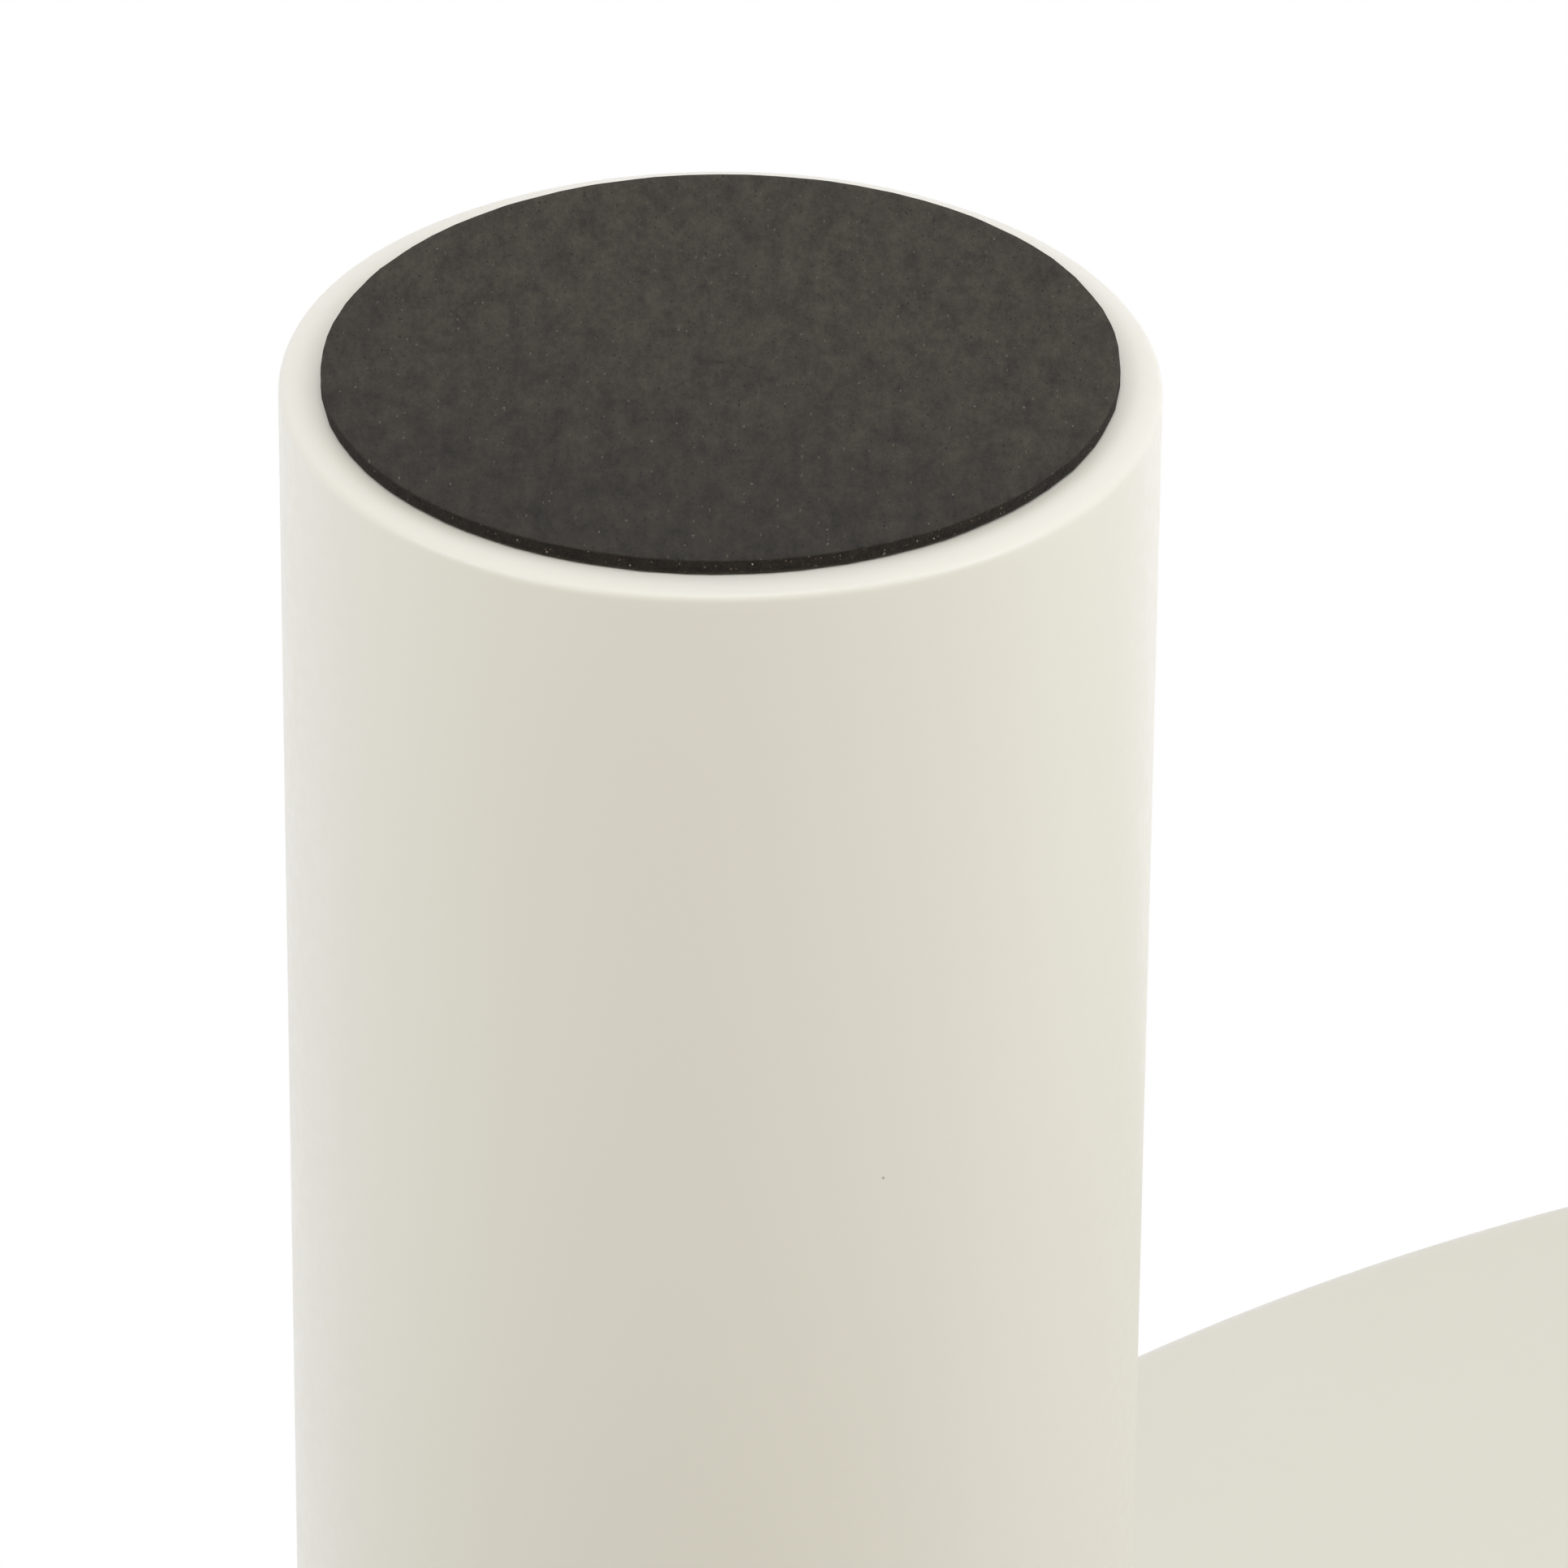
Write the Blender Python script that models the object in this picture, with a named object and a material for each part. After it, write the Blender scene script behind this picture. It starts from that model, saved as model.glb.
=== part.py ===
"""Round coffee table: a slab top on three thick, hollow, screwed-on cylindrical legs with foam pads.

Metres, +Z up. The origin is on the floor, straight under the middle of the top, and +Y points to
the leg at the back. Each leg is a tube closed by a plug at each end. A threaded insert in the head
plug and another in the underside of the top hold the two ends of one stud, so that a leg turns on
by hand until its head meets the top. A foam pad is glued over the foot.
"""

import math

import bmesh
import bpy

# The whole table
TABLE_DIAMETER = 0.800
TABLE_HEIGHT = 0.400
TOP_THICKNESS = 0.0335
TOP_EDGE_ROUND = 0.008

# Legs
LEG_ANGLES = {"back": 90.0, "front_left": 210.0, "front_right": 330.0}
LEG_DIAMETER = 0.120
LEG_SETBACK = 0.019  # from the rim of the top in to the side of a leg
LEG_WALL = 0.009
FOOT_CROWN_WIDTH = 0.005  # eased ring round the foot, from the side of a leg inwards
FOOT_CROWN_DROP = 0.0012  # how far the ring falls back over its width
HEAD_CHAMFER = 0.0006
FOOT_PLUG_THICKNESS = 0.018
HEAD_PLUG_THICKNESS = 0.036
PLUG_CHAMFER = 0.001

# Foam pads under the legs
PAD_THICKNESS = 0.002
PAD_BORDER = 0.006  # from the side of a leg in to the edge of its pad
PAD_EDGE_ROUND = 0.0003

# Threaded hardware, M8
STUD_DIAMETER = 0.008
STUD_CHAMFER = 0.0008
STUD_SHORTFALL = 0.001  # from each end of the stud to the inner end of its insert
INSERT_LENGTH = 0.018
INSERT_WALL = 0.00145
INSERT_RIB_HEIGHT = 0.0013
INSERT_RIB_COUNT = 4
INSERT_FLANGE_LIP = 0.00245  # from the crest of the ribs out to the edge of the flange
INSERT_FLANGE_THICKNESS = 0.0012
INSERT_HOLE_SPARE = 0.002  # blind end left beyond an insert
GLUE_GAP = 0.0003  # between pieces that touch

# How finely the round shapes are cut
TOP_SIDES = 96
TUBE_SIDES = 64
PLUG_SIDES = 40
HARDWARE_SIDES = 16
ROUND_STEPS = 3
SHARP_ANGLE = math.radians(35)

# Worked out from the sizes above
TOP_RADIUS = TABLE_DIAMETER / 2
UNDERSIDE_Z = TABLE_HEIGHT - TOP_THICKNESS
LEG_RADIUS = LEG_DIAMETER / 2
LEG_CIRCLE_RADIUS = TOP_RADIUS - LEG_SETBACK - LEG_RADIUS
LEG_FOOT_Z = PAD_THICKNESS + GLUE_GAP
LEG_HEAD_Z = UNDERSIDE_Z - GLUE_GAP
TUBE_BORE_RADIUS = LEG_RADIUS - LEG_WALL
PLUG_RADIUS = TUBE_BORE_RADIUS - GLUE_GAP
INSERT_BORE_RADIUS = STUD_DIAMETER / 2 + GLUE_GAP
INSERT_BODY_RADIUS = INSERT_BORE_RADIUS + INSERT_WALL
INSERT_CREST_RADIUS = INSERT_BODY_RADIUS + INSERT_RIB_HEIGHT
INSERT_FLANGE_RADIUS = INSERT_CREST_RADIUS + INSERT_FLANGE_LIP
INSERT_HOLE_RADIUS = INSERT_CREST_RADIUS + GLUE_GAP
INSERT_HOLE_DEPTH = INSERT_LENGTH + INSERT_HOLE_SPARE
FLANGE_SEAT_RADIUS = INSERT_FLANGE_RADIUS + GLUE_GAP
FLANGE_SEAT_DEPTH = INSERT_FLANGE_THICKNESS + GLUE_GAP
STUD_REACH = INSERT_LENGTH - STUD_SHORTFALL  # each way from the joint of leg and top
PAD_RADIUS = LEG_RADIUS - PAD_BORDER


def make_material(name, color, roughness, metallic=0.0):
    """A Principled material of one linear colour."""
    material = bpy.data.materials.new(name)
    material.use_nodes = True
    shader = material.node_tree.nodes["Principled BSDF"]
    shader.inputs["Base Color"].default_value = (*color, 1.0)
    shader.inputs["Roughness"].default_value = roughness
    shader.inputs["Metallic"].default_value = metallic
    return material


def arc(centre, radius, start, end, steps):
    """Points (r, z) on an arc about centre, with start and end in degrees from the +r direction."""
    points = []
    for step in range(steps + 1):
        angle = math.radians(start + (end - start) * step / steps)
        points.append((centre[0] + radius * math.cos(angle), centre[1] + radius * math.sin(angle)))
    return points


def turned(name, profile, sides, material, ring=False):
    """A solid of revolution about Z from a profile of (r, z) points.

    A ring's profile is a closed outline. Any other profile is open, and flat faces close its ends.
    """
    mesh = bmesh.new()
    verts = [mesh.verts.new((r, 0.0, z)) for r, z in profile]
    edges = [mesh.edges.new(pair) for pair in zip(verts, verts[1:])]
    if ring:
        edges.append(mesh.edges.new((verts[-1], verts[0])))
    bmesh.ops.spin(mesh, geom=verts + edges, cent=(0, 0, 0), axis=(0, 0, 1),
                   angle=2 * math.pi, steps=sides, use_merge=True)
    if not ring:
        rims = [edge for edge in mesh.edges if edge.is_boundary]
        bmesh.ops.holes_fill(mesh, edges=rims, sides=0)
    bmesh.ops.recalc_face_normals(mesh, faces=mesh.faces)
    data = bpy.data.meshes.new(name)
    mesh.to_mesh(data)
    mesh.free()
    data.shade_smooth()
    data.set_sharp_from_angle(angle=SHARP_ANGLE)
    data.materials.append(material)
    solid = bpy.data.objects.new(name, data)
    bpy.context.scene.collection.objects.link(solid)
    return solid


def subtract(solid, cutter):
    """Cuts cutter out of solid and keeps cutter as a guide that isn't part of the table."""
    cut = solid.modifiers.new(cutter.name, "BOOLEAN")
    cut.operation = "DIFFERENCE"
    cut.solver = "EXACT"
    cut.object = cutter
    cutter.hide_render = True
    cutter.display_type = "WIRE"


def top_profile():
    """The slab's outline from the middle of its underside round the soft rim to its upper face."""
    rim_centre = TOP_RADIUS - TOP_EDGE_ROUND
    lower = arc((rim_centre, UNDERSIDE_Z + TOP_EDGE_ROUND), TOP_EDGE_ROUND, -90, 0, ROUND_STEPS)
    upper = arc((rim_centre, TABLE_HEIGHT - TOP_EDGE_ROUND), TOP_EDGE_ROUND, 0, 90, ROUND_STEPS)
    return lower + upper


def tube_profile():
    """A leg's wall: an eased foot, a straight bore, and a broken edge at the head.

    The easing is an arc that starts flat on the foot and meets the side at a distinct edge.
    """
    crown_radius = (FOOT_CROWN_WIDTH**2 + FOOT_CROWN_DROP**2) / (2 * FOOT_CROWN_DROP)
    crown_turn = math.degrees(math.asin(FOOT_CROWN_WIDTH / crown_radius))
    crown_centre = (LEG_RADIUS - FOOT_CROWN_WIDTH, LEG_FOOT_Z + crown_radius)
    foot = arc(crown_centre, crown_radius, -90, crown_turn - 90, ROUND_STEPS)
    head = [
        (LEG_RADIUS, LEG_HEAD_Z - HEAD_CHAMFER),
        (LEG_RADIUS - HEAD_CHAMFER, LEG_HEAD_Z),
        (TUBE_BORE_RADIUS, LEG_HEAD_Z),
    ]
    return [(TUBE_BORE_RADIUS, LEG_FOOT_Z)] + foot + head


def foot_plug_profile():
    """A disc that fills the bore flush with the foot, with its inner rim chamfered to lead it in."""
    inner_z = LEG_FOOT_Z + FOOT_PLUG_THICKNESS
    return [
        (PLUG_RADIUS, LEG_FOOT_Z),
        (PLUG_RADIUS, inner_z - PLUG_CHAMFER),
        (PLUG_RADIUS - PLUG_CHAMFER, inner_z),
    ]


def head_plug_profile():
    """A thicker disc flush with the head, holding an insert in a stepped hole through its middle."""
    inner_z = LEG_HEAD_Z - HEAD_PLUG_THICKNESS
    return [
        (INSERT_HOLE_RADIUS, inner_z),
        (PLUG_RADIUS - PLUG_CHAMFER, inner_z),
        (PLUG_RADIUS, inner_z + PLUG_CHAMFER),
        (PLUG_RADIUS, LEG_HEAD_Z),
        (FLANGE_SEAT_RADIUS, LEG_HEAD_Z),
        (FLANGE_SEAT_RADIUS, LEG_HEAD_Z - FLANGE_SEAT_DEPTH),
        (INSERT_HOLE_RADIUS, LEG_HEAD_Z - FLANGE_SEAT_DEPTH),
    ]


def insert_profile(face_z, inward):
    """A threaded insert whose flange is flush at face_z and whose ribbed body runs inward, up or down."""
    body_length = INSERT_LENGTH - INSERT_FLANGE_THICKNESS
    pitch = body_length / (INSERT_RIB_COUNT + 1)
    outline = [
        (INSERT_BORE_RADIUS, 0.0),
        (INSERT_FLANGE_RADIUS, 0.0),
        (INSERT_FLANGE_RADIUS, INSERT_FLANGE_THICKNESS),
        (INSERT_BODY_RADIUS, INSERT_FLANGE_THICKNESS),
    ]
    for rib in range(1, INSERT_RIB_COUNT + 1):
        crest = INSERT_FLANGE_THICKNESS + rib * pitch
        outline += [
            (INSERT_BODY_RADIUS, crest - pitch / 4),
            (INSERT_CREST_RADIUS, crest),
            (INSERT_BODY_RADIUS, crest + pitch / 4),
        ]
    outline += [(INSERT_BODY_RADIUS, INSERT_LENGTH), (INSERT_BORE_RADIUS, INSERT_LENGTH)]
    return [(radius, face_z + inward * depth) for radius, depth in outline]


def insert_hole_profile():
    """The stepped blind hole for an insert in the underside of the top, run out below that face."""
    below = UNDERSIDE_Z - INSERT_LENGTH
    return [
        (FLANGE_SEAT_RADIUS, below),
        (FLANGE_SEAT_RADIUS, UNDERSIDE_Z + FLANGE_SEAT_DEPTH),
        (INSERT_HOLE_RADIUS, UNDERSIDE_Z + FLANGE_SEAT_DEPTH),
        (INSERT_HOLE_RADIUS, UNDERSIDE_Z + INSERT_HOLE_DEPTH),
    ]


def stud_profile():
    """A stud centred on the joint between leg and top, chamfered at both ends."""
    radius = STUD_DIAMETER / 2
    low = UNDERSIDE_Z - STUD_REACH
    high = UNDERSIDE_Z + STUD_REACH
    return [
        (radius - STUD_CHAMFER, low),
        (radius, low + STUD_CHAMFER),
        (radius, high - STUD_CHAMFER),
        (radius - STUD_CHAMFER, high),
    ]


def pad_profile():
    """A thin disc on the floor with barely softened edges."""
    return [
        (PAD_RADIUS - PAD_EDGE_ROUND, 0.0),
        (PAD_RADIUS, PAD_EDGE_ROUND),
        (PAD_RADIUS, PAD_THICKNESS - PAD_EDGE_ROUND),
        (PAD_RADIUS - PAD_EDGE_ROUND, PAD_THICKNESS),
    ]


def build_top(lacquer, leg_places):
    """The slab, with a stepped blind hole over each leg."""
    top = turned("table_top", top_profile(), TOP_SIDES, lacquer)
    for leg, (x, y) in leg_places.items():
        hole = turned(f"insert_hole_{leg}", insert_hole_profile(), HARDWARE_SIDES, lacquer)
        hole.location = (x, y, 0.0)
        subtract(top, hole)


def build_leg(leg, place, materials):
    """One leg with its plugs, pad and hardware, all under an empty on the leg's own axis."""
    axis = bpy.data.objects.new(f"leg_axis_{leg}", None)
    axis.location = (*place, 0.0)
    bpy.context.scene.collection.objects.link(axis)
    zinc, board = materials["zinc"], materials["board"]
    pieces = [
        turned(f"leg_tube_{leg}", tube_profile(), TUBE_SIDES, materials["lacquer"], ring=True),
        turned(f"foot_plug_{leg}", foot_plug_profile(), PLUG_SIDES, board),
        turned(f"head_plug_{leg}", head_plug_profile(), PLUG_SIDES, board, ring=True),
        turned(f"foot_pad_{leg}", pad_profile(), TUBE_SIDES, materials["foam"]),
        turned(f"leg_insert_{leg}", insert_profile(LEG_HEAD_Z, -1), HARDWARE_SIDES, zinc, ring=True),
        turned(f"top_insert_{leg}", insert_profile(UNDERSIDE_Z, 1), HARDWARE_SIDES, zinc, ring=True),
        turned(f"leg_stud_{leg}", stud_profile(), HARDWARE_SIDES, materials["steel"]),
    ]
    for piece in pieces:
        piece.parent = axis


def main():
    """Clears the scene and builds the table."""
    for leftover in list(bpy.data.objects):
        bpy.data.objects.remove(leftover)
    materials = {
        "lacquer": make_material("cream_lacquer", (0.77, 0.74, 0.65), 0.45),
        "board": make_material("raw_fibreboard", (0.36, 0.24, 0.14), 0.9),
        "foam": make_material("black_foam", (0.030, 0.029, 0.027), 0.85),
        "zinc": make_material("zinc_alloy", (0.62, 0.60, 0.55), 0.35, metallic=1.0),
        "steel": make_material("plated_steel", (0.66, 0.67, 0.69), 0.25, metallic=1.0),
    }
    leg_places = {}
    for leg, degrees in LEG_ANGLES.items():
        angle = math.radians(degrees)
        leg_places[leg] = (LEG_CIRCLE_RADIUS * math.cos(angle), LEG_CIRCLE_RADIUS * math.sin(angle))
    build_top(materials["lacquer"], leg_places)
    for leg, place in leg_places.items():
        build_leg(leg, place, materials)
    bpy.context.view_layer.update()


main()
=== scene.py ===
"""Looks of a round coffee table on three thick cylindrical legs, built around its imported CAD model.

The table stands the right way up on a floor at z = 0, in metres. The slab top, the hollow legs and
the foam foot pads are made again here as fine surfaces, and the plugs and the threaded hardware
keep their CAD shapes and get their own finishes. The camera looks up at one foot from below, with
the picture turned over, so that foot points to the top of the picture. The floor is seen only from
above.
"""

import logging
import math
from dataclasses import dataclass, field
from enum import Enum

import bpy
import numpy as np
from mathutils import Matrix, Vector


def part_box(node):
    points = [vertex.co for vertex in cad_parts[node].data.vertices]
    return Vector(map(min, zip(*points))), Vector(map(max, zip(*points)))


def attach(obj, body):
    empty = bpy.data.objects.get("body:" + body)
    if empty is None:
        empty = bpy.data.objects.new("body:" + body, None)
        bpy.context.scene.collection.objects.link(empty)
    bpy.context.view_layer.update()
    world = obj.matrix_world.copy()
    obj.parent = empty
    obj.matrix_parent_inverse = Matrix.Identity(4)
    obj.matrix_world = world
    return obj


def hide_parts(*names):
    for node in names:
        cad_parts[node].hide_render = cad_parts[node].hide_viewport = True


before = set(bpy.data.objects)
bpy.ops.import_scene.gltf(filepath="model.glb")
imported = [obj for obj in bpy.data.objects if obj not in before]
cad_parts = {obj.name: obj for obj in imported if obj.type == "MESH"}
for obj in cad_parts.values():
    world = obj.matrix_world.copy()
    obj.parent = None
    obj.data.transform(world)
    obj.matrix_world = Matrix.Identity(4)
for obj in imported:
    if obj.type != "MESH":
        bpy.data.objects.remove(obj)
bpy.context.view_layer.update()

LOG = logging.getLogger("coffee_table")
BODY = "root"
MM = 0.001
# ring_noise has a root mean square of 1 and seldom goes past this.
NOISE_PEAK = 3

Color = tuple[float, float, float]
# Scattered dots: cells per metre, a dot's size in cells, the share of cells that have one, raggedness.
Dots = tuple[float, float, float, float]


class Leg(Enum):
    """The three legs, by the names that their CAD nodes end in."""

    BACK = "back"
    FRONT_LEFT = "front_left"
    FRONT_RIGHT = "front_right"


# ---------------------------------------------------------------------------------------------
# Surfaces
# ---------------------------------------------------------------------------------------------


def arc(centre: tuple[float, float], radius: float, start: float, end: float, steps: int) -> np.ndarray:
    """Points on an arc in the (r, z) plane: centre plus radius times (cosine, sine) of the angle.

    Args:
        centre: the arc's centre, as (r, z).
        radius: the arc's radius.
        start: the first angle in degrees, from the +r direction.
        end: the last angle in degrees.
        steps: how many equal steps lie between them.

    Returns:
        An array of steps + 1 rows of (r, z).
    """
    angle = np.radians(np.linspace(start, end, steps + 1))
    return np.stack([centre[0] + radius * np.cos(angle), centre[1] + radius * np.sin(angle)], axis=1)


def line(start: tuple[float, float], end: tuple[float, float], steps: int) -> np.ndarray:
    """Evenly spaced points in the (r, z) plane from start up to, and without, end."""
    share = np.arange(steps)[:, None] / steps
    return np.asarray(start) * (1 - share) + np.asarray(end) * share


def revolve(profile: np.ndarray, sides: int) -> np.ndarray:
    """Turns a profile about Z: each (r, z) becomes the ring (r cos a, r sin a, z).

    Args:
        profile: rows of (r, z).
        sides: how many points each ring has.

    Returns:
        An array of shape (rows, sides, 3).
    """
    angle = ring_angles(sides)
    radius = profile[:, 0:1]
    height = np.broadcast_to(profile[:, 1:2], (len(profile), sides))
    return np.stack([radius * np.cos(angle), radius * np.sin(angle), height], axis=2)


def ring_angles(sides: int) -> np.ndarray:
    """The angles of the points of a ring, evenly spaced from zero."""
    return np.arange(sides) * (2 * np.pi / sides)


def ring_noise(sides: int, waves: range, seed: int) -> np.ndarray:
    """A smooth random function round a ring: sines of whole wave numbers, the higher the weaker.

    Args:
        sides: how many points the ring has.
        waves: the wave numbers to add up.
        seed: picks the phases.

    Returns:
        One value for each point, with a root mean square of 1.
    """
    phases = np.random.default_rng(seed).uniform(0, 2 * np.pi, len(waves))
    numbers = np.array(waves)[:, None]
    total = (np.sin(numbers * ring_angles(sides) + phases[:, None]) / np.sqrt(numbers)).sum(axis=0)
    return total / np.sqrt((total**2).mean())


def shell_faces(rows: int, sides: int, ring: bool) -> list[list[int]]:
    """Faces of a shell of rings: quads between rings, and a fan of triangles over each open end.

    Args:
        rows: how many rings there are.
        sides: how many points each ring has.
        ring: whether the last ring joins the first, as on a tube with a wall.

    Returns:
        Faces as lists of vertex numbers. The two fans meet at two more vertices, after the rings.
    """
    last = rows if ring else rows - 1
    row, column = np.meshgrid(np.arange(last), np.arange(sides), indexing="ij")
    beyond, across = (row + 1) % rows, (column + 1) % sides
    corners = [row * sides + column, row * sides + across, beyond * sides + across, beyond * sides + column]
    faces = np.stack(corners, axis=2).reshape(-1, 4).tolist()
    if not ring:
        here = np.arange(sides)
        there = (here + 1) % sides
        final = (rows - 1) * sides
        first_pole = np.full(sides, rows * sides)
        faces += np.stack([first_pole, there, here], axis=1).tolist()
        faces += np.stack([first_pole + 1, final + here, final + there], axis=1).tolist()
    return faces


def build_shell(name: str, rings: np.ndarray, ring: bool = False, sharp: float = 35.0) -> bpy.types.Object:
    """Makes a closed mesh object from rings of points, smooth except where it turns sharply.

    Args:
        name: the object's name.
        rings: points of shape (rows, sides, 3), with the outside on the right of the way they run.
        ring: whether the last ring joins the first. Otherwise the ends close at their middles.
        sharp: the angle in degrees past which an edge is shaded sharp.

    Returns:
        The new object, at the origin.
    """
    rows, sides = rings.shape[:2]
    points = rings.reshape(-1, 3)
    if not ring:
        points = np.concatenate([points, rings[[0, -1]].mean(axis=1)])
    mesh = bpy.data.meshes.new(name)
    mesh.from_pydata(points.tolist(), [], shell_faces(rows, sides, ring))
    mesh.shade_smooth()
    mesh.set_sharp_from_angle(angle=math.radians(sharp))
    shell = bpy.data.objects.new(name, mesh)
    bpy.context.scene.collection.objects.link(shell)
    return shell


def carve(solid: bpy.types.Object, cutters: list[bpy.types.Object]) -> None:
    """Cuts the cutters out of a solid's mesh and removes them.

    Args:
        solid: the object that is cut.
        cutters: closed objects whose shapes are taken out of it.
    """
    for cutter in cutters:
        cut = solid.modifiers.new(cutter.name, "BOOLEAN")
        cut.operation = "DIFFERENCE"
        cut.solver = "EXACT"
        cut.object = cutter
    bpy.context.view_layer.update()
    whole = solid.data
    solid.data = bpy.data.meshes.new_from_object(solid.evaluated_get(bpy.context.evaluated_depsgraph_get()))
    solid.modifiers.clear()
    solid.data.name = whole.name
    for cutter in cutters:
        bpy.data.objects.remove(cutter)


# ---------------------------------------------------------------------------------------------
# Shader node groups
# ---------------------------------------------------------------------------------------------


class NodeSheet:
    """A node tree that is filled from left to right by short calls.

    The Mix node's colour inputs and output have the same names as its others, so they go by number.
    """

    SPACING = 220
    MIX_COLORS = (6, 7)
    MIXED_COLOR = 2

    def __init__(self, tree: bpy.types.NodeTree) -> None:
        """Starts on a tree, which is emptied first."""
        self.tree = tree
        self.tree.nodes.clear()

    def add(self, kind: str, inputs: dict | None = None, **settings: object) -> bpy.types.Node:
        """Adds a node.

        Args:
            kind: the node's type, without the word Node in front.
            inputs: its inputs by name or number. A socket is linked, and anything else is set.
            settings: its properties.

        Returns:
            The new node.
        """
        node = self.tree.nodes.new("ShaderNode" + kind)
        node.location.x = self.SPACING * len(self.tree.nodes)
        for name, value in settings.items():
            setattr(node, name, value)
        for name, value in (inputs or {}).items():
            self.feed(node.inputs[name], value)
        return node

    def feed(self, socket: bpy.types.NodeSocket, value: object) -> None:
        """Links a value to an input, or sets it there when it is no socket.

        Args:
            socket: the input.
            value: another node's output, or a plain value.
        """
        if isinstance(value, bpy.types.NodeSocket):
            self.tree.links.new(value, socket)
        else:
            socket.default_value = value

    def math(self, operation: str, first: object, second: object = 0.0) -> bpy.types.NodeSocket:
        """The result of a Math node on two sockets or numbers."""
        return self.add("Math", {0: first, 1: second}, operation=operation).outputs[0]

    def bump(self, height: bpy.types.NodeSocket, distance: float, strength: float) -> bpy.types.NodeSocket:
        """The normal of a Bump node on a height."""
        inputs = {"Strength": strength, "Distance": distance, "Height": height}
        return self.add("Bump", inputs).outputs["Normal"]

    def spread(
        self, value: object, low: float, high: float, to_low: float = 0.0, to_high: float = 1.0
    ) -> bpy.types.NodeSocket:
        """The result of a smooth Map Range from (low, high) to (to_low, to_high)."""
        inputs = {"Value": value, "From Min": low, "From Max": high, "To Min": to_low, "To Max": to_high}
        return self.add("MapRange", inputs, interpolation_type="SMOOTHSTEP").outputs["Result"]

    def along(self, place: object, middle: tuple[float, float], heading: float) -> bpy.types.NodeSocket:
        """How far a place lies from a middle in one level direction: their difference, dotted with it.

        Args:
            place: the place's socket.
            middle: the middle, as (x, y).
            heading: the direction, in degrees from +X.

        Returns:
            The socket of that distance.
        """
        off = self.add("VectorMath", {0: place, 1: (*middle, 0.0)}, operation="SUBTRACT").outputs["Vector"]
        way = (math.cos(math.radians(heading)), math.sin(math.radians(heading)), 0.0)
        return self.add("VectorMath", {0: off, 1: way}, operation="DOT_PRODUCT").outputs["Value"]

    def mix(self, share: object, first: object, second: object) -> bpy.types.NodeSocket:
        """The result of mixing two colours.

        Args:
            share: how much of the second colour there is.
            first: the first colour, as a socket or three numbers.
            second: the second colour, likewise.

        Returns:
            The socket of the mixed colour.
        """
        node = self.add("Mix", {"Factor": share}, data_type="RGBA")
        for number, value in zip(self.MIX_COLORS, (first, second)):
            self.feed(node.inputs[number], (*value, 1.0) if isinstance(value, tuple) else value)
        return node.outputs[self.MIXED_COLOR]


class EffectGroup:
    """A shader node group, made the first time that a material places it."""

    name = "effect"
    inputs: dict[str, tuple[str, object]] = {}
    outputs: dict[str, str] = {}

    @classmethod
    def tree(cls) -> bpy.types.NodeTree:
        """The group's node tree, with its sockets and nodes.

        Returns:
            The tree, which is made by the first call.
        """
        known = bpy.data.node_groups.get(cls.name)
        if known is not None:
            return known
        tree = bpy.data.node_groups.new(cls.name, "ShaderNodeTree")
        sheet = NodeSheet(tree)
        for name, (kind, value) in cls.inputs.items():
            socket = tree.interface.new_socket(name, in_out="INPUT", socket_type="NodeSocket" + kind)
            if value is not None:
                socket.default_value = value
        for name, kind in cls.outputs.items():
            tree.interface.new_socket(name, in_out="OUTPUT", socket_type="NodeSocket" + kind)
        given = list(tree.nodes.new("NodeGroupInput").outputs)[:len(cls.inputs)]
        results = cls.fill(sheet, given)
        out = tree.nodes.new("NodeGroupOutput")
        for name, socket in results.items():
            tree.links.new(socket, out.inputs[name])
        return tree

    @classmethod
    def fill(cls, sheet: NodeSheet, given: list[bpy.types.NodeSocket]) -> dict[str, bpy.types.NodeSocket]:
        """Adds the group's nodes.

        Args:
            sheet: the group's own sheet.
            given: its inputs, in order.

        Returns:
            The results, by the names of the group's outputs.
        """
        raise NotImplementedError

    @classmethod
    def place(cls, sheet: NodeSheet, **values: object) -> bpy.types.Node:
        """Places the group on a material's sheet.

        Args:
            sheet: the material's sheet.
            values: the group's inputs by name, with _ for a space.

        Returns:
            The group's node.
        """
        node = sheet.add("Group", node_tree=cls.tree())
        for name, value in values.items():
            sheet.feed(node.inputs[name.replace("_", " ")], value)
        return node


class Grain(EffectGroup):
    """Irregular fine grain in two sizes: a mask and a relief from 0 to 1."""

    name = "grain"
    inputs = {
        "Place": ("Vector", None),
        "Grains per metre": ("Float", 1000.0),
        "Clouds per metre": ("Float", 100.0),
        "Cloud share": ("Float", 0.3),
    }
    outputs = {"Mask": "Float", "Relief": "Float"}

    @classmethod
    def fill(cls, sheet: NodeSheet, given: list[bpy.types.NodeSocket]) -> dict[str, bpy.types.NodeSocket]:
        """Fine noise for the relief, and the same noise mixed with coarse noise for the mask.

        Args:
            sheet: the group's own sheet.
            given: its inputs, in order.

        Returns:
            The mask and the relief.
        """
        place, grains, clouds, share = given
        fine = sheet.add("TexNoise", {"Vector": place, "Scale": grains, "Detail": 2.0, "Roughness": 0.6})
        coarse = sheet.add("TexNoise", {"Vector": place, "Scale": clouds, "Detail": 3.0, "Roughness": 0.55})
        relief = sheet.spread(fine.outputs["Fac"], 0.25, 0.75)
        cloud = sheet.spread(coarse.outputs["Fac"], 0.3, 0.7)
        blend = sheet.add("Mix", {0: share, 2: relief, 3: cloud}, data_type="FLOAT")
        return {"Mask": blend.outputs[0], "Relief": relief}


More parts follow.
